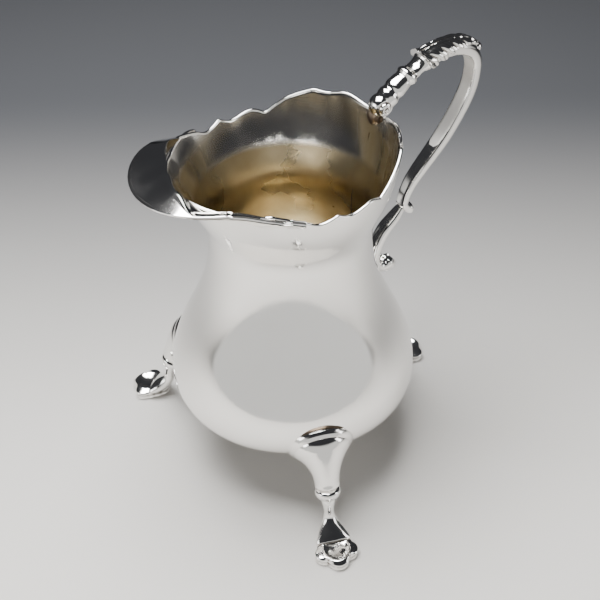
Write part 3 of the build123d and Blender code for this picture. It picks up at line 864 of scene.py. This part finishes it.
# ---------------------------------------------------------------- legs
@dataclass
class HoofLeg:
    """Knee pad on the belly with a cast leg: trumpet, knop, slim ankle and trefoil hoof."""

    looks: Looks
    name: str
    angle: float
    pad_centre: Pair = (31.6, 23.9)
    pad_tilt: float = 20.0
    solder_radius: float = 8.75
    solder_inside: float = 8.0
    solder_low: float = -4.6
    solder_high: float = -1.9
    pad_profile: list[Pair] = field(default_factory=lambda: [
        (0.0, -5.0), (8.4, -5.0), (8.4, -2.0), (8.55, -1.85), (8.6, -1.5), (8.5, -1.1), (8.25, -0.6),
        (7.9, -0.2),
        (7.65, 0.05), (7.4, 0.1), (7.2, -0.05), (7.0, -0.15), (0.0, -0.15),
    ])
    limb: list[tuple[float, float, float, float, float]] = field(default_factory=lambda: [
        (30.9, 24.1, 20, 7.5, 1), (31.5, 23.9, 21, 7.55, 1), (32.1, 23.6, 24, 7.3, 1),
        (32.7, 23.2, 28, 6.7, 1),
        (33.4, 22.6, 33, 5.8, 1), (34.2, 21.7, 40, 4.9, 1), (35.0, 20.6, 48, 4.15, 1),
        (35.8, 19.2, 58, 3.6, 1),
        (36.4, 17.8, 66, 3.35, 1), (36.7, 17.0, 72, 3.4, 1), (36.75, 16.75, 74, 3.3, 1),
        (36.8, 16.5, 74, 2.2, 1),
        (36.95, 16.1, 74, 2.1, 1), (37.0, 15.85, 74, 2.6, 1), (37.15, 15.4, 74, 3.2, 1),
        (37.3, 14.8, 74, 3.4, 1),
        (37.45, 14.2, 74, 3.35, 1), (37.6, 13.5, 74, 3.0, 1), (37.7, 13.0, 75, 2.1, 1),
        (37.85, 12.5, 76, 1.75, 1),
        (38.1, 11.8, 78, 1.8, 1), (38.6, 10.2, 82, 1.5, 1), (38.95, 8.6, 84, 1.35, 1),
        (39.2, 7.4, 80, 1.45, 1.05),
        (39.8, 6.3, 70, 1.7, 1.15), (40.6, 5.3, 62, 1.9, 1.4), (41.6, 4.3, 54, 2.0, 1.75),
        (42.9, 3.3, 44, 1.9, 2.25),
        (44.3, 2.5, 36, 1.5, 3.1),
    ])
    hoof_centre: float = 46.8
    hoof_circles: list[tuple[float, float, float]] = field(default_factory=lambda: [
        (48.7, 0.0, 2.95), (46.9, 3.2, 2.45), (45.3, 2.4, 2.35), (43.7, 1.4, 2.2), (42.3, 0.0, 2.1),
    ])
    rim_height: float = 3.0
    dish_depth: float = 0.75
    dish_radius: float = 3.3

    def turned(self, out: float, sideways: float, height: float) -> Vector:
        """Point of the leg's own frame, turned about the jug's axis to where the leg stands."""
        angle = math.radians(self.angle)
        x = out * math.cos(angle) - sideways * math.sin(angle)
        y = out * math.sin(angle) + sideways * math.cos(angle)
        return jug_point(x, y, max(height, 0.0))

    def tilted(
        self, centre: Pair, tilt: float, radius: float, turn: float, rise: float, spread: float = 1.0
    ) -> Vector:
        """Point round an axis that looks outwards and down by tilt degrees, spread sideways."""
        lean, angle = math.radians(tilt), 2 * math.pi * turn
        along_axis = Vector((math.cos(lean), 0, -math.sin(lean)))
        upwards = Vector((math.sin(lean), 0, math.cos(lean)))
        spot = Vector((centre[0], 0, centre[1])) + along_axis * rise
        spot += upwards * radius * math.cos(angle) + Vector((0, spread * radius * math.sin(angle), 0))
        return self.turned(*spot)

    def solder_point(self, turn: float, share: float) -> Vector:
        """Point of the dark, slightly wavy solder band round the pad."""
        wave = 0.06 * math.sin(26 * math.pi * turn) * math.sin(math.pi * share)
        radius = self.solder_radius + wave if 0.0 < share < 1.0 else self.solder_inside
        rise = self.solder_low + (self.solder_high - self.solder_low) * share
        return self.tilted(self.pad_centre, self.pad_tilt, radius, turn, rise)

    def pad_point(self, turn: float, share: float) -> Vector:
        """Point of the knee pad."""
        spot = share * (len(self.pad_profile) - 1)
        first = min(int(spot), len(self.pad_profile) - 2)
        (r0, h0), (r1, h1) = self.pad_profile[first], self.pad_profile[first + 1]
        t = spot - first
        return self.tilted(self.pad_centre, self.pad_tilt, r0 + (r1 - r0) * t, turn, h0 + (h1 - h0) * t)

    def limb_point(self, turn: float, share: float) -> Vector:
        """Point of the limb from the trumpet to the instep."""
        out, height, tilt, radius, spread = along(self.limb, share)
        if share in (0.0, 1.0):
            radius = 0.0
        return self.tilted((out, height), tilt, radius, turn, 0.0, spread)

    def hoof_outline(self, angle: float) -> float:
        """Distance from the middle of the hoof to its trefoil outline."""
        u, v = math.cos(angle), abs(math.sin(angle))
        reach = 0.0
        for x, y, radius in self.hoof_circles:
            forward = (x - self.hoof_centre) * u + y * v
            off = (x - self.hoof_centre) * v - y * u
            if abs(off) < radius:
                reach = max(reach, forward + math.sqrt(radius**2 - off**2))
        return reach

    def hoof_point(self, turn: float, share: float) -> Vector:
        """Point of the trefoil hoof: flat sole, hollow sides, rolled rim and a dished top."""
        angle = 2 * math.pi * turn
        outline = self.hoof_outline(angle)
        rim = self.rim_height
        low = rim - self.dish_depth
        dish = min(self.dish_radius, outline - 0.8)
        rows = [
            (0.0, 0.0), (0.5 * outline, 0.0), (outline - 0.3, 0.0), (outline - 0.1, 0.25),
            (outline - 0.35, 0.9),
            (outline - 0.3, 1.3), (outline, 1.8), (outline, 2.1), (outline - 0.25, 2.4),
            (dish + 0.6, rim - 0.12),
            (dish + 0.3, rim), (dish - 0.1, rim - 0.08), (0.7 * dish, low + 0.3),
            (0.35 * dish, low + 0.06), (0.0, low),
        ]
        reach, height = along(rows, share)
        x = self.hoof_centre + reach * math.cos(angle)
        return self.turned(x, reach * math.sin(angle), height)

    def build(self) -> None:
        """Build the pad and the leg."""
        pad = surface(self.name + "_knee_pad_casting", 96, 84, self.pad_point)
        dress(pad, [self.looks.cast])
        finish(pad, Slot.CAST, self.name + "_knee_pad")
        solder = surface(self.name + "_pad_solder", 128, 12, self.solder_point)
        dress(solder, [self.looks.solder])
        finish(solder, Slot.CAST)
        limb = surface(self.name + "_limb", 64, 200, self.limb_point)
        hoof = surface(self.name + "_hoof", 96, 72, self.hoof_point)
        leg = join([limb, hoof], self.name + "_leg_casting")
        apply(leg, "REMESH", mode="VOXEL", voxel_size=0.2 * MM)
        apply(leg, "SMOOTH", factor=0.5, iterations=2)
        dress(leg, [self.looks.cast])
        finish(leg, Slot.CAST, self.name + "_leg")


# ---------------------------------------------------------------- stage
@dataclass
class Studio:
    """Pale floor, soft lights and the camera."""

    camera_place: Vector = field(default_factory=lambda: Vector((-110.3, -167.4, 215.7)))
    right: Vector = field(default_factory=lambda: Vector((0.8244, -0.5656, -0.0095)))
    up: Vector = field(default_factory=lambda: Vector((0.3696, 0.5260, 0.7660)))
    lens: float = 60.2
    away: Vector = field(default_factory=lambda: Vector((0.56, 0.83, 0)))
    fade: Pair = (-0.112, 0.20)
    floor_front: float = 0.16

    def camera(self) -> None:
        """Place the camera."""
        data = bpy.data.cameras.new("camera")
        data.lens = self.lens
        data.sensor_width = 36
        data.clip_start = 0.01
        camera = bpy.data.objects.new("camera", data)
        bpy.context.scene.collection.objects.link(camera)
        back = self.right.cross(self.up).normalized()
        turn = Matrix((self.right, self.up, back)).transposed().to_4x4()
        camera.matrix_world = Matrix.Translation(jug_point(*self.camera_place)) @ turn
        bpy.context.scene.camera = camera

    def floor(self) -> None:
        """Lay the floor."""
        bpy.ops.mesh.primitive_plane_add(size=6)
        floor = bpy.context.object
        turn = Matrix.Rotation(math.atan2(self.away.y, self.away.x), 4, "Z")
        floor.data.transform(turn @ Matrix.Translation((3 - self.floor_front, 0, 0)))
        floor.name = "floor"
        material = bpy.data.materials.new("floor_card")
        material.use_nodes = True
        nodes, links = material.node_tree.nodes, material.node_tree.links
        shader = nodes["Principled BSDF"]
        shader.inputs["Roughness"].default_value = 0.65
        shader.inputs["Specular IOR Level"].default_value = 0.2
        noise = nodes.new("ShaderNodeTexNoise")
        noise.inputs["Scale"].default_value = 9
        links.new(nodes.new("ShaderNodeTexCoord").outputs["Object"], noise.inputs["Vector"])
        ramp = nodes.new("ShaderNodeMix")
        ramp.data_type = "RGBA"
        ramp.inputs["A"].default_value = (0.655, 0.635, 0.60, 1)
        ramp.inputs["B"].default_value = (0.695, 0.675, 0.64, 1)
        links.new(noise.outputs["Fac"], ramp.inputs["Factor"])
        away = nodes.new("ShaderNodeVectorMath")
        away.operation = "DOT_PRODUCT"
        away.inputs[1].default_value = self.away
        links.new(nodes["Texture Coordinate"].outputs["Object"], away.inputs[0])
        depth = nodes.new("ShaderNodeMapRange")
        depth.interpolation_type = "SMOOTHSTEP"
        depth.inputs["From Min"].default_value = self.fade[0]
        depth.inputs["From Max"].default_value = self.fade[1]
        links.new(away.outputs["Value"], depth.inputs["Value"])
        sweep = nodes.new("ShaderNodeMix")
        sweep.data_type = "RGBA"
        sweep.inputs["B"].default_value = (0.068, 0.070, 0.076, 1)
        links.new(depth.outputs["Result"], sweep.inputs["Factor"])
        links.new(ramp.outputs["Result"], sweep.inputs["A"])
        links.new(sweep.outputs["Result"], shader.inputs["Base Color"])
        floor.data.materials.append(material)

    def light(self, name: str, place: Vector, target: Vector, size: Pair, power: float) -> None:
        """Soft box that the camera doesn't see.

        Args:
            name: The light's name.
            place: Its middle, in metres.
            target: What it faces, in metres.
            size: Its width and height, in metres.
            power: Its power in watts.
        """
        data = bpy.data.lights.new(name, "AREA")
        data.shape = "RECTANGLE"
        data.size, data.size_y = size
        data.energy = power
        lamp = bpy.data.objects.new(name, data)
        bpy.context.scene.collection.objects.link(lamp)
        lamp.location = place
        lamp.rotation_euler = (target - place).to_track_quat("-Z", "Y").to_euler()
        lamp.visible_camera = False

    def build(self) -> None:
        """Build the stage."""
        self.camera()
        self.floor()
        aim = Vector((0, 0, 0.03))
        self.light("overhead_box", Vector((-0.05, 0.07, 0.45)), aim, (0.30, 0.30), 6.4)
        self.light("left_box", Vector((-0.55, 0.10, 0.22)), aim, (0.30, 0.16), 0.8)
        self.light("right_box", Vector((0.42, -0.40, 0.22)), aim, (0.16, 0.30), 0.7)
        self.air()

    def air(self) -> None:
        """Light tent: pale in front of the jug, dark behind it."""
        world = bpy.data.worlds.new("studio_air")
        world.use_nodes = True
        nodes, links = world.node_tree.nodes, world.node_tree.links
        front = nodes.new("ShaderNodeVectorMath")
        front.operation = "DOT_PRODUCT"
        front.inputs[1].default_value = -self.away
        links.new(nodes.new("ShaderNodeTexCoord").outputs["Generated"], front.inputs[0])
        share = nodes.new("ShaderNodeMapRange")
        share.interpolation_type = "SMOOTHSTEP"
        share.inputs["From Min"].default_value = -0.5
        share.inputs["From Max"].default_value = 0.1
        links.new(front.outputs["Value"], share.inputs["Value"])
        split = nodes.new("ShaderNodeSeparateXYZ")
        links.new(nodes["Texture Coordinate"].outputs["Generated"], split.inputs["Vector"])
        height = nodes.new("ShaderNodeMapRange")
        height.interpolation_type = "SMOOTHSTEP"
        height.inputs["From Min"].default_value = 0.42
        height.inputs["From Max"].default_value = 0.22
        links.new(split.outputs["Z"], height.inputs["Value"])
        both = nodes.new("ShaderNodeMath")
        both.operation = "MULTIPLY"
        links.new(share.outputs["Result"], both.inputs[0])
        links.new(height.outputs["Result"], both.inputs[1])
        tent = nodes.new("ShaderNodeMix")
        tent.data_type = "RGBA"
        tent.inputs["A"].default_value = (0.035, 0.036, 0.04, 1)
        tent.inputs["B"].default_value = (0.87, 0.87, 0.85, 1)
        links.new(both.outputs["Value"], tent.inputs["Factor"])
        links.new(tent.outputs["Result"], nodes["Background"].inputs["Color"])
        bpy.context.scene.world = world


LEGS = {"rear": 6.9, "front_right": 125.5, "front_left": 249.2}


def main() -> None:
    """Build the stage and every sub-assembly in order."""
    logging.basicConfig(level=logging.INFO, format="%(message)s")
    Studio().build()
    looks = Looks()
    body = PearBody(looks)
    body.build()
    PouringLip(looks, body).build()
    ScrollHandle(looks).build()
    for name, angle in LEGS.items():
        HoofLeg(looks, name, angle).build()


if __name__ == "__main__":
    main()
